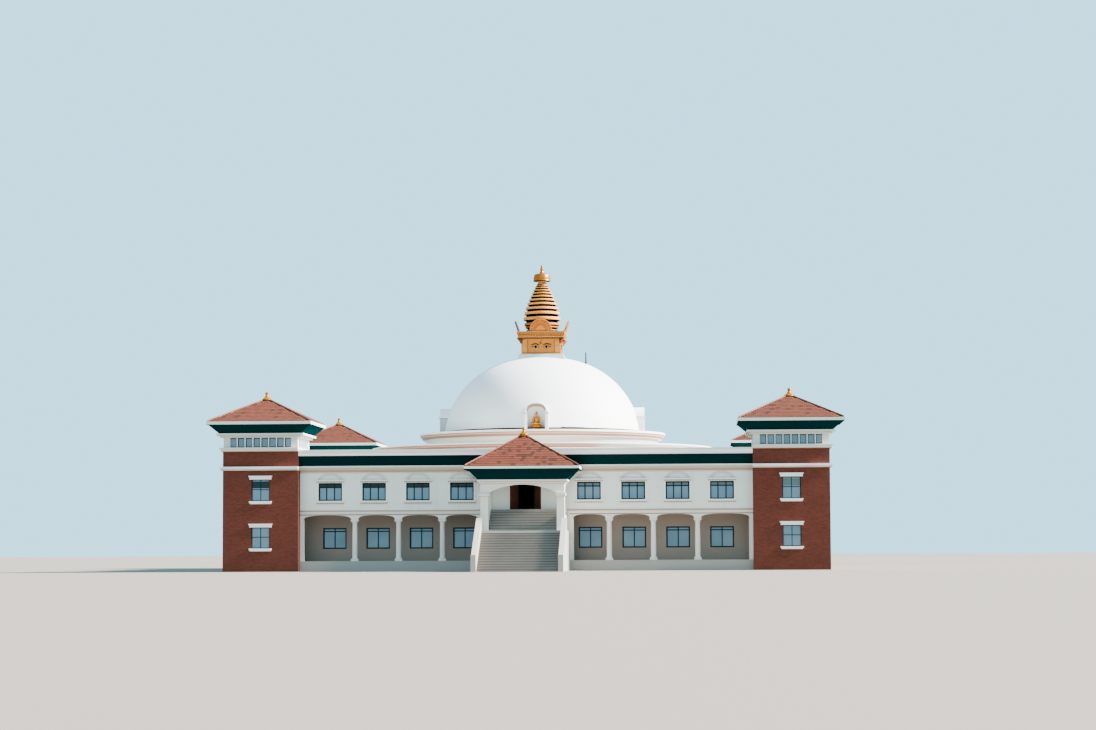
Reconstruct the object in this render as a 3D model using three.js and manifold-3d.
// A stupa temple at half its real size: a gilded thirteen-ring spire and a box with four faces on a white
// dome, two round terraces, a square white base of two storeys with an arcade round its foot, a portico with
// a flight of steps, and a brick tower with a tiled hip roof at each corner.
// Lengths are real metres times `metre`, so the numbers below are those of the building itself.
// +Z is up, the front faces -Y, and the origin is on the ground under the spire.
import * as THREE from "three";
import { mergeVertices } from "three/addons/utils/BufferGeometryUtils.js";
import Module from "manifold-3d";

const wasm = await Module();
wasm.setup();

const modelScale = 1 / 2;
const metre = 1000 * modelScale; // millimetres of the model for one metre of the building
const gap = 0.3; // millimetres left between pieces that touch

// Plan of the square base and its corner towers
const facade = 21.2 * metre; // from the centre to the face of the outer walls
const towerCentre = 19.35 * metre;
const towerHalf = 2.78 * metre;
const towerInner = towerCentre - towerHalf; // where a storey's wall meets the tower
const gallery = 2.4 * metre; // depth of the covered walk behind the arcade
const wallThick = 0.3 * metre;
const plinthEdge = 0.2 * metre; // how far the platform stands out from the wall above it

// Levels of the base
const groundFloor = 0.75 * metre;
const firstFloorUnder = 4.26 * metre;
const firstFloor = 4.46 * metre;
const corniceLow = 7.3 * metre;
const corniceStep = 7.54 * metre; // where the cornice steps out once more
const wallTop = 7.71 * metre;
const eaveUnder = 8.42 * metre;
const roofDeck = 8.75 * metre;
const kerbTop = 8.88 * metre;
const eaveReach = 0.9 * metre; // how far the eave's edge stands out from the wall
const kerbWide = 0.3 * metre;
const eaveBoard = 0.1 * metre; // from the flare's upper end to the eave's edge
const corniceReach = 0.1 * metre; // of each of the cornice's two steps
const stringReach = 0.08 * metre;

// Windows of the base
const windowPitch = 3.23 * metre;
const windowWide = 1.75 * metre;
const upperSill = 5.15 * metre;
const upperHead = 6.47 * metre;
const groundSill = 1.65 * metre;
const groundHead = 3.2 * metre;
const frontFirstWindow = 4.65 * metre; // from the centre line, on the side with the portico
const glassThick = 0.024 * metre;
const glassLap = 0.2 * metre; // of a sheet of glass behind the wall above and below the windows
const doorClear = 0.05 * metre; // between a doorway and the glass round it
const upperDoorHalf = 1.15 * metre;
const hoodReach = 0.14 * metre;
const hoodHigh = 0.22 * metre;
const sillHigh = 0.12 * metre;

// Arcade
const columnRadius = 0.19 * metre;
const capitalHalf = 0.29 * metre;
const springing = 3.74 * metre;
const archRise = 0.36 * metre;
const arcadeThick = 0.45 * metre;
const frontFirstColumn = 6.11 * metre;
const frontColumnPitch = 3.22 * metre;
const frontColumns = 3; // on each side of the portico
const sideColumns = 9;

// Terraces, dome and niches
const hallRadius = 7.2 * metre; // the round opening in the roof under the dome
const lowerTerraceRadius = 13.8 * metre;
const lowerTerraceTop = 9.63 * metre;
const upperTerraceRadius = 9.96 * metre;
const upperTerraceTop = 10.8 * metre;
const domeRadius = 7.95 * metre;
const domeRise = 6.37 * metre;
const domeThick = 0.45 * metre;
const nicheFront = 8.3 * metre; // from the axis to the face of a niche
const nicheBack = 7.66 * metre;
const nicheHalf = 0.95 * metre;
const nicheTop = 13.02 * metre;
const recessHalf = 0.69 * metre;
const recessFloor = 10.95 * metre;

// Box above the dome, spire and canopy
const plinthFoot = 16.8 * metre; // inside the dome
const boxHalf = 1.59 * metre;
const boxBottom = 17.33 * metre;
const boxTop = 18.6 * metre;
const boxCornice = 19.12 * metre;
const boxCorniceHalf = 1.95 * metre;
const panelHalf = 0.88 * metre;
const panelHigh = 1.06 * metre; // measured along the leaning panel
const panelLean = 0.4; // radians outwards from upright
const panelFoot = 1.76 * metre; // from the axis to the panel's inner face
const ringCount = 13;
const firstRing = 19.39 * metre;
const widestPitch = 0.45 * metre; // between the fourth ring and the fifth
const ringShare = 0.69; // of the pitch that a ring's face fills
const widestRing = 1.5 * metre;
const widestAt = 20.31 * metre;
const narrowestRing = 0.39 * metre;
const canopyBottom = 23.38 * metre;
const spireTip = 24.77 * metre;

// Portico and steps
const porticoHalf = 3.03 * metre; // to the outer face of the front piers
const porticoFront = 24.4 * metre;
const podiumHalf = porticoHalf + 0.2 * metre;
const pierWide = 0.56 * metre;
const pierDeep = 0.6 * metre;
const porticoFloor = 2.9 * metre;
const porticoSpring = 5.61 * metre;
const porticoArchRise = 0.61 * metre;
const porticoWallTop = 6.56 * metre;
const porticoEaveUnder = 7.27 * metre;
const porticoEaveTop = 7.51 * metre;
const porticoEaveHalf = 4.15 * metre;
const porticoEaveFront = 25.35 * metre;
const porticoApex = 22.6 * metre; // from the centre to the point of the portico's roof
const porticoRoofTop = 9.88 * metre;
const roofThick = 0.2 * metre;
const podiumFront = 25.4 * metre;
const envelopeHalf = 6 * metre; // of the stretch of the front that the portico is cut back from
const lowerStepCount = 15;
const lowerTread = 0.3 * metre;
const upperStepCount = 8;
const upperTread = 0.26 * metre;
const cheekThick = 0.36 * metre;
const cheekAbove = 0.9 * metre; // top of a cheek wall over the steps' noses

// Corner towers
const towerBrickTop = 8.78 * metre;
const towerWallThick = 0.36 * metre;
const towerFloorThick = 0.2 * metre;
const towerWindowWide = 1.34 * metre;
const atticBandHalf = 2.25 * metre; // of the band of small windows under the eave
const atticBand = [9.1 * metre, 9.8 * metre];
const atticTop = 10.11 * metre;
const towerEaveUnder = 10.74 * metre;
const towerEaveTop = 10.96 * metre;
const towerEaveHalf = 3.85 * metre;
const towerRoofTop = 12.81 * metre;

const roundSides = 48;
const domeSides = 40;

const plaster = new THREE.MeshStandardMaterial({ color: 0xe9ebe8, roughness: 0.75 });
const stone = new THREE.MeshStandardMaterial({ color: 0xcfc4b2, roughness: 0.85 });
const brick = new THREE.MeshStandardMaterial({ color: 0x8c4436, roughness: 0.85 });
const tile = new THREE.MeshStandardMaterial({ color: 0xb06450, roughness: 0.8 });
const gilding = new THREE.MeshStandardMaterial({ color: 0xd79a45, roughness: 0.35, metalness: 0.85 });
const glass = new THREE.MeshStandardMaterial({ color: 0x6d8da0, roughness: 0.1 });
const darkMetal = new THREE.MeshStandardMaterial({ color: 0x3a3d40, roughness: 0.6, metalness: 0.5 });

const root = new THREE.Group();

// Solids from three.js geometry, joined and cut
function solid(geometry) {
  geometry.deleteAttribute("normal");
  geometry.deleteAttribute("uv");
  const merged = mergeVertices(geometry, 1e-3);
  const corners = [];
  for (let i = 0; i < merged.index.count; i += 3) {
    const [a, b, c] = [0, 1, 2].map((k) => merged.index.getX(i + k));
    if (a !== b && b !== c && c !== a) corners.push(a, b, c);
  }
  return new wasm.Manifold(
    new wasm.Mesh({
      numProp: 3,
      vertProperties: merged.attributes.position.array,
      triVerts: new Uint32Array(corners),
    }),
  );
}

function geometryOf(made) {
  const mesh = made.getMesh();
  return new THREE.BufferGeometry()
    .setAttribute("position", new THREE.BufferAttribute(new Float32Array(mesh.vertProperties), 3))
    .setIndex(new THREE.BufferAttribute(new Uint32Array(mesh.triVerts), 1));
}

function join(...solids) {
  return solids.reduce((a, b) => a.add(b));
}

function cut(from, ...tools) {
  return tools.reduce((a, b) => a.subtract(b), from);
}

function block(x0, x1, y0, y1, z0, z1) {
  const geometry = new THREE.BoxGeometry(x1 - x0, y1 - y0, z1 - z0);
  return solid(geometry.translate((x0 + x1) / 2, (y0 + y1) / 2, (z0 + z1) / 2));
}

function outline(points) {
  return new THREE.Shape(points.map(([u, v]) => new THREE.Vector2(u, v)));
}

// A flat outline in plan, raised from z0 to z1
function slab(shape, z0, z1, curveSegments = 8) {
  const geometry = new THREE.ExtrudeGeometry(shape, { depth: z1 - z0, bevelEnabled: false, curveSegments });
  return solid(geometry.translate(0, 0, z0));
}

// An outline of (x, z), from y0 to y1
function alongY(shape, y0, y1, curveSegments = 8) {
  const geometry = new THREE.ExtrudeGeometry(shape, { depth: y1 - y0, bevelEnabled: false, curveSegments });
  return solid(geometry.rotateX(Math.PI / 2).translate(0, y1, 0));
}

// An outline of (y, z), from x0 to x1
function alongX(shape, x0, x1, curveSegments = 8) {
  const geometry = new THREE.ExtrudeGeometry(shape, { depth: x1 - x0, bevelEnabled: false, curveSegments });
  const turn = new THREE.Matrix4().makeBasis(
    new THREE.Vector3(0, 1, 0),
    new THREE.Vector3(0, 0, 1),
    new THREE.Vector3(1, 0, 0),
  );
  return solid(geometry.applyMatrix4(turn).translate(x0, 0, 0));
}

// A profile of (radius, z), turned round the upright axis through (x, y)
function turned(profile, sides, x = 0, y = 0) {
  const points = profile.map(([r, z]) => new THREE.Vector2(r, z));
  const geometry = new THREE.LatheGeometry(points, sides);
  return solid(geometry.rotateX(Math.PI / 2).translate(x, y, 0));
}

// Square frustum with its own half sizes below and above
function frustum(halfX0, halfY0, z0, halfX1, halfY1, z1, x = 0, y = 0) {
  const geometry = new THREE.BoxGeometry(2, 2, 1).translate(0, 0, 0.5);
  const place = geometry.attributes.position;
  for (let i = 0; i < place.count; i++) {
    const up = place.getZ(i) > 0.5;
    place.setX(i, x + place.getX(i) * (up ? halfX1 : halfX0));
    place.setY(i, y + place.getY(i) * (up ? halfY1 : halfY0));
    place.setZ(i, up ? z1 : z0);
  }
  return solid(geometry);
}

function pyramid(halfX, halfY, z0, z1, x, y) {
  const geometry = new THREE.ConeGeometry(Math.SQRT2, 1, 4).rotateY(Math.PI / 4).rotateX(Math.PI / 2);
  return solid(geometry.scale(halfX, halfY, z1 - z0).translate(x, y, (z0 + z1) / 2));
}

function piece(name, made, material, turn = 0) {
  const mesh = new THREE.Mesh(geometryOf(made), material);
  mesh.name = name;
  mesh.rotation.z = turn;
  root.add(mesh);
}

const sides = [
  { name: "front", turn: 0 },
  { name: "right", turn: Math.PI / 2 },
  { name: "back", turn: Math.PI },
  { name: "left", turn: -Math.PI / 2 },
];

const corners = [
  { name: "front_left", turn: 0 },
  { name: "front_right", turn: Math.PI / 2 },
  { name: "back_right", turn: Math.PI },
  { name: "back_left", turn: -Math.PI / 2 },
];

// A square of the given half size with a smaller square left out at each corner for the towers
function crossPlan(half) {
  const inner = towerInner - gap;
  const quarter = [
    [half, -inner],
    [half, inner],
    [inner, inner],
  ];
  const points = [];
  for (let q = 0; q < 4; q++) {
    const [c, s] = [Math.round(Math.cos((q * Math.PI) / 2)), Math.round(Math.sin((q * Math.PI) / 2))];
    quarter.forEach(([x, y]) => points.push([x * c - y * s, x * s + y * c]));
  }
  return outline(points);
}

// Centres of the windows along one side of the base
function windowCentres(withPortico) {
  const first = withPortico ? frontFirstWindow : windowPitch / 2;
  const count = withPortico ? 4 : 5;
  const half = Array.from({ length: count }, (_, i) => first + i * windowPitch);
  return [...half.map((x) => -x).reverse(), ...half];
}

function basePlinth() {
  return slab(crossPlan(facade + plinthEdge), 0, groundFloor);
}

// Wall behind the arcade, with its windows. Away from the portico the two in the middle are doorways.
function groundWall(withPortico) {
  const face = -(facade - gallery);
  const end = towerInner - gap;
  const half = windowWide / 2;
  const wall = block(-end, end, face, face + wallThick, groundFloor, firstFloorUnder);
  const holes = windowCentres(withPortico).map((x) => {
    const isDoorway = !withPortico && Math.abs(x) < windowPitch;
    const foot = isDoorway ? groundFloor - 1 : groundSill;
    return block(x - half, x + half, face - 1, face + wallThick + 1, foot, groundHead);
  });
  return cut(wall, ...holes);
}

// One sheet of glass just inside a wall, behind all its windows and left out where its doorways are
function glassSheet(face, z0, z1, doorwayHalf) {
  const inner = face + wallThick + gap;
  const end = windowCentres(false).at(-1) + windowWide;
  const sheet = block(-end, end, inner, inner + glassThick, z0 - glassLap, z1 + glassLap);
  if (!doorwayHalf) return sheet;
  const half = doorwayHalf + doorClear;
  return cut(sheet, block(-half, half, inner - 1, inner + glassThick + 1, 0, z1 + doorClear));
}

function column(x) {
  const shaftTop = springing - 0.1 * metre;
  const capitalFoot = shaftTop - 0.06 * metre;
  const baseTop = groundFloor + 0.22 * metre;
  const y = -(facade - arcadeThick / 2);
  const plan = (half, z0, z1) => block(x - half, x + half, y - half, y + half, z0, z1);
  return join(
    turned(
      [
        [0, groundFloor],
        [columnRadius, groundFloor],
        [columnRadius * 0.9, shaftTop],
        [0, shaftTop],
      ],
      8,
      x,
      y,
    ),
    plan(capitalHalf * 0.9, groundFloor, baseTop),
    plan(capitalHalf, capitalFoot, springing + 1),
  );
}

// A wall with flat arches from x0 to x1, on columns at the given places and a half pier at each end
function arcade(x0, x1, columns) {
  const half = capitalHalf * 0.85;
  const supports = [x0, ...columns, x1];
  const shape = new THREE.Shape();
  shape.moveTo(x1, springing);
  shape.lineTo(x1, firstFloorUnder);
  shape.lineTo(x0, firstFloorUnder);
  shape.lineTo(x0, springing);
  for (let bay = 0; bay + 1 < supports.length; bay++) {
    const left = supports[bay] + half;
    const right = supports[bay + 1] - half;
    shape.lineTo(left, springing);
    shape.absellipse((left + right) / 2, springing, (right - left) / 2, archRise, Math.PI, 0, true);
  }
  shape.closePath();
  const wall = alongY(shape, -facade, -(facade - arcadeThick), 4);
  const respond = (x, inward) => {
    const [a, b] = [x, x + inward * capitalHalf].sort((p, q) => p - q);
    return block(a, b, -facade, -(facade - arcadeThick), groundFloor, springing + 1);
  };
  return join(wall, respond(x0, 1), respond(x1, -1), ...columns.map(column));
}

function firstFloorSlab() {
  return slab(crossPlan(facade + stringReach), firstFloorUnder, firstFloor);
}

// Wall of the upper storey, with its cornice, hoods and sills
function upperWall(withPortico) {
  const end = towerInner - gap;
  const back = -(facade - wallThick);
  const wall = block(-end, end, -facade, back, firstFloor, wallTop);
  const cornice = join(
    block(-end, end, -facade - corniceReach, -facade + 1, corniceLow, wallTop),
    block(-end, end, -facade - 2 * corniceReach, -facade + 1, corniceStep, wallTop),
  );
  const trims = [];
  const holes = [];
  for (const x of windowCentres(withPortico)) {
    const half = windowWide / 2;
    const reach = half + hoodReach;
    const trim = (z0, z1) => block(x - reach, x + reach, -facade - hoodReach, -facade + 1, z0, z1);
    holes.push(block(x - half, x + half, -facade - metre, back + 1, upperSill, upperHead));
    trims.push(trim(upperHead, upperHead + hoodHigh), trim(upperSill - sillHigh, upperSill));
  }
  if (withPortico) {
    holes.push(block(-upperDoorHalf, upperDoorHalf, -facade - metre, back + 1, firstFloor - 1, upperHead));
  }
  return cut(join(wall, cornice, ...trims), ...holes);
}

// Roof deck with its kerb and the flared eave under it, with the round opening of the hall
function roofSlab() {
  const edge = facade + eaveReach;
  const flareIn = facade + corniceReach;
  const flareOut = edge - eaveBoard;
  const end = towerInner - gap;
  const deck = slab(crossPlan(edge), eaveUnder, kerbTop);
  const hollow = slab(crossPlan(edge - kerbWide), roofDeck, kerbTop + 1);
  const well = turned(
    [
      [0, eaveUnder - 1],
      [hallRadius, eaveUnder - 1],
      [hallRadius, kerbTop],
      [0, kerbTop],
    ],
    roundSides,
  );
  const flare = outline([
    [-flareOut, eaveUnder + 1],
    [-flareOut, eaveUnder],
    [-flareIn, wallTop],
    [-(facade - wallThick), wallTop],
    [-(facade - wallThick), eaveUnder + 1],
  ]);
  const flares = sides.map(({ turn }) => {
    const made = alongX(flare, -end, end);
    return solid(geometryOf(made).rotateZ(turn));
  });
  return cut(join(deck, ...flares), hollow, well);
}

// A round terrace with a moulded cornice, open in the middle
function terrace(radius, bottom, top) {
  const drum = radius - 0.42 * metre;
  const neck = radius - 0.3 * metre;
  const lowMould = top - 0.46 * metre;
  const neckFoot = top - 0.4 * metre;
  const highMould = top - 0.3 * metre;
  const lip = top - 0.2 * metre;
  return turned(
    [
      [hallRadius, bottom],
      [drum, bottom],
      [drum, lowMould],
      [neck, neckFoot],
      [neck, highMould],
      [radius, lip],
      [radius, top],
      [hallRadius, top],
      [hallRadius, bottom],
    ],
    roundSides,
  );
}

// Half profile of the dome, from its foot to its crown: full in the shoulders and flat on top
function domeProfile(radius, rise, steps) {
  const across = 2.35;
  const upward = 1.8;
  return Array.from({ length: steps + 1 }, (_, i) => {
    const angle = (i / steps) * (Math.PI / 2);
    const r = i === steps ? 0 : radius * Math.pow(Math.cos(angle), 2 / across);
    return [r, upperTerraceTop + rise * Math.pow(Math.sin(angle), 2 / upward)];
  });
}

// The dome as a solid, larger by the given amount
function domeMass(extra) {
  const foot = upperTerraceTop - 1;
  const outer = domeProfile(domeRadius + extra, domeRise + extra, 12);
  return turned([[0, foot], [domeRadius + extra, foot], ...outer], domeSides);
}

// An arched outline in the plane of a niche's face, from z0 up
function archedOutline(half, z0, crown) {
  const shape = new THREE.Shape();
  shape.moveTo(-half, z0);
  shape.lineTo(half, z0);
  shape.lineTo(half, crown - half);
  shape.absarc(0, crown - half, half, 0, Math.PI, false);
  shape.closePath();
  return shape;
}

function nicheRecess() {
  const reveal = 0.22 * metre;
  const shape = archedOutline(recessHalf, recessFloor, nicheTop - reveal);
  return alongY(shape, -nicheFront - metre, -nicheBack, 6);
}

function dome() {
  const inner = domeProfile(domeRadius - domeThick, domeRise - domeThick, 7).reverse();
  const shell = turned([...inner, ...domeProfile(domeRadius, domeRise, 12)], domeSides);
  const recesses = sides.map(({ turn }) => solid(geometryOf(nicheRecess()).rotateZ(turn)));
  return cut(shell, ...recesses);
}

function niche() {
  const impost = 12.2 * metre;
  const impostHigh = 0.12 * metre;
  const shape = archedOutline(nicheHalf, upperTerraceTop, nicheTop);
  const arched = alongY(shape, -nicheFront, -nicheBack + metre, 8);
  const reach = nicheHalf + 0.08 * metre;
  const proud = 0.07 * metre;
  const band = block(-reach, reach, -nicheFront - proud, -nicheBack, impost, impost + impostHigh);
  return cut(join(arched, band), nicheRecess(), domeMass(gap));
}

// A seated figure on a stepped seat
function seatedFigure() {
  const y = -(nicheFront - 0.32 * metre);
  const z = recessFloor;
  const ball = (rx, ry, rz, dy, up) => {
    const geometry = new THREE.SphereGeometry(1, 8, 5).rotateX(Math.PI / 2);
    geometry.scale(rx * metre, ry * metre, rz * metre);
    return solid(geometry.translate(0, y + dy * metre, z + up * metre));
  };
  const seat = (halfX, halfY, z0, z1) => {
    const [x, deep] = [halfX * metre, halfY * metre];
    return block(-x, x, y - deep, y + deep, z + z0 * metre, z + z1 * metre);
  };
  const knees = ball(0.34, 0.22, 0.12, -0.01, 0.37);
  const trunk = ball(0.2, 0.14, 0.3, 0.04, 0.66);
  const head = ball(0.11, 0.11, 0.14, 0.03, 1.04);
  const topknot = ball(0.05, 0.05, 0.08, 0.03, 1.2);
  return join(seat(0.42, 0.25, 0, 0.12), seat(0.37, 0.21, 0.1, 0.29), knees, trunk, head, topknot);
}

function boxPlinth() {
  const foot = 1.97 * metre;
  const top = 1.76 * metre;
  return cut(frustum(foot, foot, plinthFoot, top, top, boxBottom), domeMass(gap));
}

// The square box with a pilaster at each corner
function facedBox() {
  const proud = 0.05 * metre;
  const wide = 0.5 * metre;
  const face = boxHalf - proud;
  const core = block(-face, face, -face, face, boxBottom, boxTop);
  const pilasters = [-1, 1].flatMap((sx) =>
    [-1, 1].map((sy) => {
      const [x0, x1] = sx < 0 ? [-boxHalf, -boxHalf + wide] : [boxHalf - wide, boxHalf];
      const [y0, y1] = sy < 0 ? [-boxHalf, -boxHalf + wide] : [boxHalf - wide, boxHalf];
      return block(x0, x1, y0, y1, boxBottom, boxTop);
    }),
  );
  return join(core, ...pilasters);
}

// A square course round the axis of the box
function course(half, z0, z1) {
  return block(-half, half, -half, half, z0, z1);
}

// Brackets that widen upwards from the corners of the box to the corners of its cornice
function cornerCorbels() {
  const foot = 18.1 * metre;
  const head = 18.62 * metre;
  const under = 18.88 * metre;
  const reach = boxCorniceHalf - 0.03 * metre;
  const between = 1.3 * metre; // half the width left free in the middle of a face
  const far = boxCorniceHalf + metre;
  const low = boxHalf + 0.01 * metre;
  const flared = join(frustum(low, low, foot, reach, reach, head), course(reach, head - 1, under));
  const box = course(boxHalf + gap, foot - 1, boxTop);
  const middleX = block(-between, between, -far, far, foot - 1, under + 1);
  const middleY = block(-far, far, -between, between, foot - 1, under + 1);
  return cut(flared, box, middleX, middleY);
}

// The box's cornice, with an arched panel leaning out over each face
function crownedCornice() {
  const thick = 0.12 * metre;
  const sunk = 0.03 * metre;
  const lowCourse = course(1.8 * metre, boxTop, 18.71 * metre);
  const middleCourse = course(1.88 * metre, 18.7 * metre, 18.88 * metre);
  const topCourse = course(boxCorniceHalf, 18.87 * metre, boxCornice);
  const panels = sides.map(({ turn }) => {
    const panel = geometryOf(alongY(archedOutline(panelHalf, 0, panelHigh), -thick, 0, 6));
    panel.rotateX(panelLean).translate(0, -panelFoot, boxCornice - sunk).rotateZ(turn);
    return solid(panel);
  });
  return join(lowCourse, middleCourse, topCourse, cornerCorbels(), ...panels);
}

// Distance from ring i up to the next: small at the foot, widest at the fourth ring, then closing in
function ringPitch(i) {
  const opening = Math.min(1, 0.45 + 0.28 * i);
  const closing = Math.pow(0.9, Math.max(0, i - 3));
  return widestPitch * opening * closing;
}

function ringRadius(z) {
  const footNarrowing = 0.16 * metre;
  const footHigh = 0.79 * metre;
  const upperHigh = 2.88 * metre;
  if (z < widestAt) return widestRing - footNarrowing * Math.pow((widestAt - z) / footHigh, 1.6);
  const share = (z - widestAt) / upperHigh;
  return narrowestRing + (widestRing - narrowestRing) * (1 - Math.pow(share, 1.5));
}

// Thirteen flat-faced rings on a core
function spire() {
  const footInset = 0.12 * metre;
  const deepestGroove = 0.24 * metre;
  const profile = [
    [0, boxCornice],
    [ringRadius(firstRing) - footInset, boxCornice],
  ];
  let z = firstRing;
  for (let i = 0; i < ringCount; i++) {
    const below = ringPitch(Math.max(0, i - 1));
    const above = ringPitch(Math.min(i, ringCount - 2));
    const half = (ringShare * (below + above)) / 4;
    const r = ringRadius(z);
    const core = r - Math.min(deepestGroove, r * 0.35);
    profile.push([core, z - half], [r, z - half], [r, z + half], [core, z + half]);
    z += above;
  }
  const neck = narrowestRing * 0.65;
  profile.push([neck, canopyBottom], [0, canopyBottom]);
  return turned(profile, 16);
}

// Parasol-like disc, bell and stacked knobs up to the tip
function canopy() {
  const outer = [
    [0.62, 23.38],
    [0.72, 23.42],
    [0.69, 23.5],
    [0.68, 23.75],
    [0.62, 23.93],
    [0.55, 23.99],
    [0.22, 24.03],
    [0.13, 24.2],
    [0.1, 24.32],
    [0.12, 24.39],
    [0.06, 24.47],
    [0.08, 24.56],
    [0.05, 24.64],
  ].map(([r, z]) => [r * metre, z * metre]);
  return turned([[0, canopyBottom], ...outer, [0, spireTip]], 16);
}

function lightningRod() {
  const x = 3.56 * metre;
  const radius = 0.05 * metre;
  const foot = 16 * metre; // inside the dome
  const top = 17.58 * metre;
  const profile = [
    [0, foot],
    [radius, foot],
    [radius, top],
    [0, top],
  ];
  return cut(turned(profile, 10, x, 0), domeMass(gap));
}

// Everything of the base that the portico stands against, a little larger
function wallEnvelope() {
  const y = (value) => -(value + gap);
  const edge = facade + eaveReach;
  const kerbInside = -(edge - kerbWide) + gap;
  const shape = outline([
    [0, -metre],
    [y(facade + plinthEdge), -metre],
    [y(facade + plinthEdge), groundFloor + gap],
    [y(facade), groundFloor + gap],
    [y(facade), firstFloorUnder - gap],
    [y(facade + stringReach), firstFloorUnder - gap],
    [y(facade + stringReach), firstFloor + gap],
    [y(facade), firstFloor + gap],
    [y(facade), corniceLow - gap],
    [y(facade + corniceReach), corniceLow - gap],
    [y(facade + corniceReach), corniceStep - gap],
    [y(facade + 2 * corniceReach), corniceStep - gap],
    [y(facade + 2 * corniceReach), wallTop],
    [y(edge - eaveBoard), eaveUnder - gap],
    [y(edge), eaveUnder - gap],
    [y(edge), kerbTop + gap],
    [kerbInside, kerbTop + gap],
    [kerbInside, roofDeck + gap],
    [0, roofDeck + gap],
  ]);
  return alongX(shape, -envelopeHalf, envelopeHalf);
}

// Masonry under the portico with the sloping walls beside the lower steps
function podium() {
  const mass = block(-podiumHalf, podiumHalf, -podiumFront, -facade, 0, porticoFloor);
  return cut(join(mass, cheekWall(-1), cheekWall(1)), wallEnvelope());
}

// A solid flight that climbs towards the building
function flight(half, front, bottom, top, count, tread) {
  const riser = (top - bottom) / (count + 1);
  const points = [[-front, bottom]];
  for (let i = 0; i < count; i++) {
    const level = bottom + (i + 1) * riser;
    points.push([-front + i * tread, level], [-front + (i + 1) * tread, level]);
  }
  points.push([-front + count * tread, bottom]);
  return alongX(outline(points), -half, half);
}

function lowerSteps() {
  const half = podiumHalf - cheekThick - gap;
  const front = podiumFront + gap + lowerStepCount * lowerTread;
  return flight(half, front, 0, porticoFloor, lowerStepCount, lowerTread);
}

function upperSteps() {
  const half = porticoHalf - pierWide - gap;
  const landing = metre; // depth of the landing before the doorway
  const bottom = porticoFloor;
  const back = facade + landing;
  const front = back + upperStepCount * upperTread - upperTread;
  const riser = (firstFloor - bottom) / upperStepCount;
  const points = [[-front, bottom]];
  for (let i = 0; i < upperStepCount; i++) {
    const y = -front + i * upperTread;
    const next = i === upperStepCount - 1 ? -facade : y + upperTread;
    points.push([y, bottom + (i + 1) * riser], [next, bottom + (i + 1) * riser]);
  }
  points.push([-facade, bottom]);
  return cut(alongX(outline(points), -half, half), wallEnvelope());
}

// Sloping wall beside the lower steps, ending in a square post
function cheekWall(side) {
  const outer = podiumHalf;
  const inner = outer - cheekThick;
  const foot = podiumFront + gap + lowerStepCount * lowerTread;
  const riser = porticoFloor / (lowerStepCount + 1);
  const postAbove = 0.1 * metre;
  const overPodium = 0.4 * metre;
  const shape = outline([
    [-podiumFront + overPodium, 0],
    [-podiumFront + overPodium, porticoFloor + cheekAbove],
    [-podiumFront - gap, porticoFloor + cheekAbove],
    [-foot, riser + cheekAbove],
    [-foot, 0],
  ]);
  const [x0, x1] = side < 0 ? [-outer, -inner] : [inner, outer];
  const post = block(x0, x1, -foot - cheekThick, -foot + 1, 0, riser + cheekAbove + postAbove);
  return join(alongX(shape, x0, x1), post);
}

// Piers, arches and parapets of the portico, open at the front and both sides
function porticoFrame() {
  const outer = porticoHalf;
  const inner = outer - pierWide;
  const back = facade;
  const top = porticoWallTop;
  const mass = block(-outer, outer, -porticoFront, -back, porticoFloor, top);
  const room = block(-inner, inner, -porticoFront + pierDeep, -back + 1, porticoFloor - 1, top + 1);
  const front = new THREE.Shape();
  const radius = (inner * inner + porticoArchRise * porticoArchRise) / (2 * porticoArchRise);
  const open = Math.asin(inner / radius);
  front.moveTo(inner, porticoFloor - 1);
  front.lineTo(inner, porticoSpring);
  const middle = porticoSpring + porticoArchRise - radius;
  front.absarc(0, middle, radius, Math.PI / 2 - open, Math.PI / 2 + open, false);
  front.lineTo(-inner, porticoFloor - 1);
  front.closePath();
  const frontArch = alongY(front, -porticoFront - 1, -porticoFront + pierDeep + 1, 12);
  const sideFrom = -porticoFront + pierDeep;
  const sideTo = -back - 0.25 * metre;
  const sideMiddle = (sideFrom + sideTo) / 2;
  const sideHalf = (sideTo - sideFrom) / 2;
  const parapet = porticoFloor + 1.1 * metre;
  const sideShape = new THREE.Shape();
  sideShape.moveTo(sideFrom, parapet);
  sideShape.lineTo(sideTo, parapet);
  sideShape.lineTo(sideTo, porticoSpring);
  sideShape.absellipse(sideMiddle, porticoSpring, sideHalf, porticoArchRise, 0, Math.PI, false);
  sideShape.closePath();
  const sideArches = alongX(sideShape, -outer - 1, outer + 1, 10);
  const ledge = (out, z0, z1) => block(-outer - out, outer + out, -porticoFront - out, -back, z0, z1);
  const capitalReach = 0.09 * metre;
  const capitalFoot = 5.38 * metre;
  const capital = (x) => {
    const half = pierWide / 2 + capitalReach;
    const inside = -porticoFront + pierDeep + capitalReach;
    return block(x - half, x + half, -porticoFront - capitalReach, inside, capitalFoot, porticoSpring);
  };
  const pierX = outer - pierWide / 2;
  const lowLedge = ledge(0.1 * metre, 6.3 * metre, 6.43 * metre);
  const highLedge = ledge(0.22 * metre, 6.42 * metre, top);
  const pierred = cut(mass, frontArch, sideArches);
  const trimmed = join(pierred, lowLedge, highLedge, capital(-pierX), capital(pierX));
  return cut(trimmed, room, wallEnvelope());
}

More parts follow.
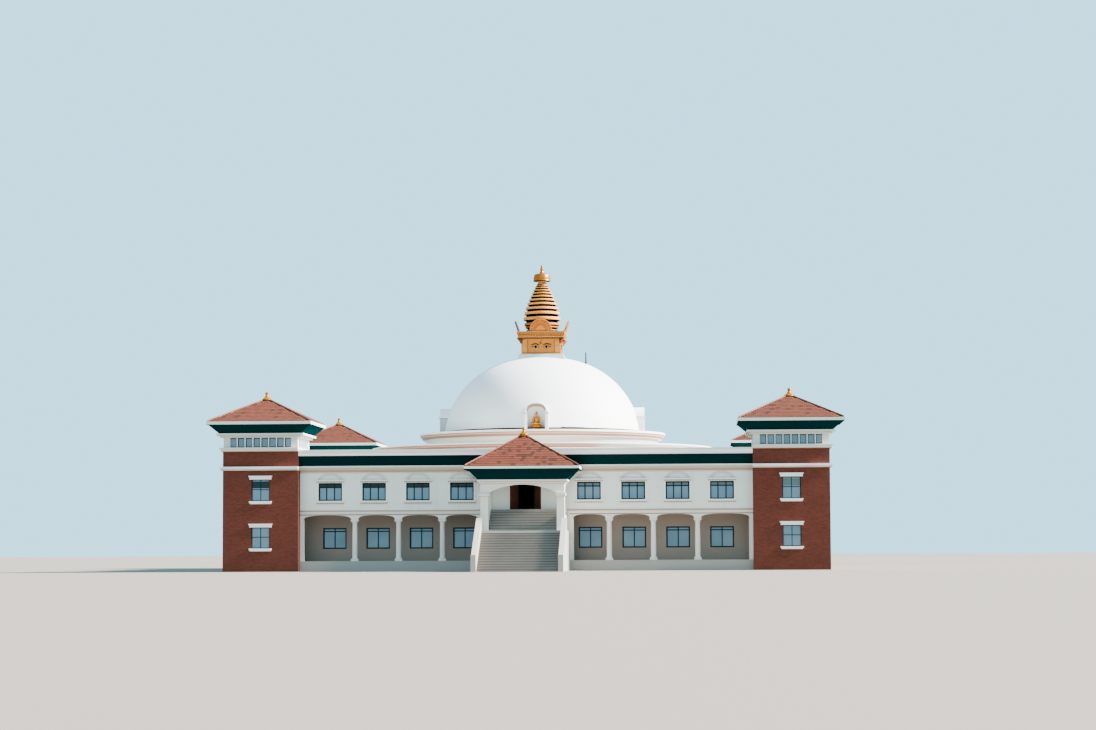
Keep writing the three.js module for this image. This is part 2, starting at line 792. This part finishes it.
// Flared eave and ceiling of the portico
function porticoEave() {
  const lowOut = 0.17 * metre; // from the wall's face to the flare's foot
  const highIn = 0.25 * metre; // from the flare's head to the eave's edge
  const lowHalf = porticoHalf + lowOut;
  const lowDeep = porticoFront + lowOut - facade;
  const highHalf = porticoEaveHalf - highIn;
  const highDeep = porticoEaveFront - highIn - facade;
  const head = porticoEaveUnder + 1;
  const flare = frustum(lowHalf, lowDeep, porticoWallTop, highHalf, highDeep, head, 0, -facade);
  const board = block(
    -porticoEaveHalf,
    porticoEaveHalf,
    -porticoEaveFront,
    -facade,
    porticoEaveUnder,
    porticoEaveTop,
  );
  const inner = porticoHalf - pierWide;
  const inside = -porticoFront + pierDeep;
  const coffer = block(-inner, inner, inside, -facade + 1, porticoWallTop - 1, porticoEaveUnder);
  const building = block(-envelopeHalf, envelopeHalf, -facade, 0, 0, roofDeck);
  return cut(join(flare, board), coffer, building, wallEnvelope());
}

// Knob on a bell, for the point of a roof
function roofFinial(x, y, z, sides) {
  const profile = [
    [0, -0.2],
    [0.36, -0.2],
    [0.34, 0.06],
    [0.2, 0.14],
    [0.13, 0.28],
    [0.17, 0.36],
    [0.1, 0.46],
    [0, 0.58],
  ].map(([r, up]) => [r * metre, z + up * metre]);
  return turned(profile, sides, x, y);
}

function porticoRoof() {
  const deep = porticoEaveFront - porticoApex;
  const insideHalf = porticoEaveHalf - 2 * roofThick;
  const insideDeep = deep - 1.6 * roofThick;
  const insideTop = porticoRoofTop - roofThick;
  const outer = pyramid(porticoEaveHalf, deep, porticoEaveTop, porticoRoofTop, 0, -porticoApex);
  const inner = pyramid(insideHalf, insideDeep, porticoEaveTop - 1, insideTop, 0, -porticoApex);
  const finial = roofFinial(0, -porticoApex, porticoRoofTop, 12);
  return cut(join(cut(outer, inner), finial), wallEnvelope());
}

// Brick tower with its two floors, and windows in its two outer faces
function towerWalls() {
  const c = -towerCentre;
  const out = towerHalf;
  const inside = towerHalf - towerWallThick;
  const half = towerWindowWide / 2;
  const rooms = [
    [groundFloor, firstFloor - towerFloorThick],
    [firstFloor, towerBrickTop - towerFloorThick],
  ].map(([z0, z1]) => block(c - inside, c + inside, c - inside, c + inside, z0, z1));
  const windows = [
    [1.7 * metre, 3.24 * metre],
    [5.15 * metre, 6.74 * metre],
  ].flatMap(([z0, z1]) => [
    block(c - half, c + half, c - out - metre, c - inside + 1, z0, z1),
    block(c - out - metre, c - inside + 1, c - half, c + half, z0, z1),
  ]);
  const outerBand = (reach, z0, z1) => block(c - out - reach, c + out, c - out - reach, c + out, z0, z1);
  const shaft = block(c - out, c + out, c - out, c + out, 0, towerBrickTop);
  const lowBand = outerBand(0.15 * metre, 7.4 * metre, 7.55 * metre);
  const highBand = outerBand(0.24 * metre, 7.54 * metre, 7.67 * metre);
  return cut(join(shaft, lowBand, highBand), ...rooms, ...windows);
}

// White top storey of a tower: sill band, a band of windows each side, cornice and flared eave
function towerAttic() {
  const c = -towerCentre;
  const inside = towerHalf - towerWallThick;
  const far = 2 * towerHalf;
  const [bandFoot, bandHead] = atticBand;
  const square = (half, z0, z1) => block(c - half, c + half, c - half, c + half, z0, z1);
  const outerBand = (reach, z0, z1) => {
    const low = c - towerHalf - reach;
    const high = c + towerHalf;
    return block(low, high, low, high, z0, z1);
  };
  const flareLow = towerHalf + 0.25 * metre;
  const flareHigh = towerEaveHalf - eaveBoard;
  const body = join(
    outerBand(0.13 * metre, towerBrickTop, 8.97 * metre),
    outerBand(0.25 * metre, 8.96 * metre, 9.07 * metre),
    square(towerHalf - 0.04 * metre, towerBrickTop, atticTop + 1),
    square(towerHalf + 0.2 * metre, 9.83 * metre, 9.98 * metre),
    square(towerHalf + 0.42 * metre, 9.97 * metre, atticTop),
    frustum(flareLow, flareLow, atticTop - 1, flareHigh, flareHigh, towerEaveUnder + 1, c, c),
    square(towerEaveHalf, towerEaveUnder, towerEaveTop),
  );
  const room = square(inside, towerBrickTop - 1, towerEaveUnder);
  const slots = [
    block(c - atticBandHalf, c + atticBandHalf, c - far, c + far, bandFoot, bandHead),
    block(c - far, c + far, c - atticBandHalf, c + atticBandHalf, bandFoot, bandHead),
  ];
  return cut(body, room, ...slots);
}

function towerRoof() {
  const c = -towerCentre;
  const insideHalf = towerEaveHalf - 2.2 * roofThick;
  const outer = pyramid(towerEaveHalf, towerEaveHalf, towerEaveTop, towerRoofTop, c, c);
  const inner = pyramid(insideHalf, insideHalf, towerEaveTop - 1, towerRoofTop - roofThick, c, c);
  return join(cut(outer, inner), roofFinial(c, c, towerRoofTop, 10));
}

piece("base_plinth", basePlinth(), stone);
piece("first_floor", firstFloorSlab(), plaster);
piece("roof_and_eave", roofSlab(), plaster);

for (const { name, turn } of sides) {
  const withPortico = name === "front";
  const pairOfDoorways = (windowPitch + windowWide) / 2;
  const groundDoors = withPortico ? 0 : pairOfDoorways;
  const upperDoors = withPortico ? upperDoorHalf : 0;
  const groundGlass = glassSheet(-(facade - gallery), groundSill, groundHead, groundDoors);
  const upperGlass = glassSheet(-facade, upperSill, upperHead, upperDoors);
  piece(`ground_wall_${name}`, groundWall(withPortico), plaster, turn);
  piece(`ground_glass_${name}`, groundGlass, glass, turn);
  piece(`upper_wall_${name}`, upperWall(withPortico), plaster, turn);
  piece(`upper_glass_${name}`, upperGlass, glass, turn);
}

const arcadeEnd = towerInner - gap;
const besidePortico = podiumHalf + gap;
const frontPlaces = Array.from({ length: frontColumns }, (_, i) => frontFirstColumn + i * frontColumnPitch);
const sidePlaces = Array.from({ length: sideColumns }, (_, i) => (i - (sideColumns - 1) / 2) * windowPitch);
const frontPlacesLeft = frontPlaces.map((x) => -x).reverse();
piece("arcade_front_left", arcade(-arcadeEnd, -besidePortico, frontPlacesLeft), plaster);
piece("arcade_front_right", arcade(besidePortico, arcadeEnd, frontPlaces), plaster);
for (const { name, turn } of sides.slice(1)) {
  piece(`arcade_${name}`, arcade(-arcadeEnd, arcadeEnd, sidePlaces), plaster, turn);
}

piece("lower_terrace", terrace(lowerTerraceRadius, roofDeck, lowerTerraceTop), plaster);
piece("upper_terrace", terrace(upperTerraceRadius, lowerTerraceTop, upperTerraceTop), plaster);
piece("dome", dome(), plaster);
for (const { name, turn } of sides) {
  piece(`niche_${name}`, niche(), plaster, turn);
  piece(`seated_figure_${name}`, seatedFigure(), gilding, turn);
}

piece("box_plinth", boxPlinth(), plaster);
piece("faced_box", facedBox(), gilding);
piece("crowned_cornice", crownedCornice(), gilding);
piece("ringed_spire", spire(), gilding);
piece("canopy_and_finial", canopy(), gilding);
piece("lightning_rod", lightningRod(), darkMetal);

piece("portico_podium", podium(), stone);
piece("lower_steps", lowerSteps(), stone);
piece("upper_steps", upperSteps(), stone);
piece("portico_frame", porticoFrame(), plaster);
piece("portico_eave", porticoEave(), plaster);
piece("portico_roof", porticoRoof(), tile);

for (const { name, turn } of corners) {
  piece(`tower_walls_${name}`, towerWalls(), brick, turn);
  piece(`tower_attic_${name}`, towerAttic(), plaster, turn);
  piece(`tower_roof_${name}`, towerRoof(), tile, turn);
}

export default root;
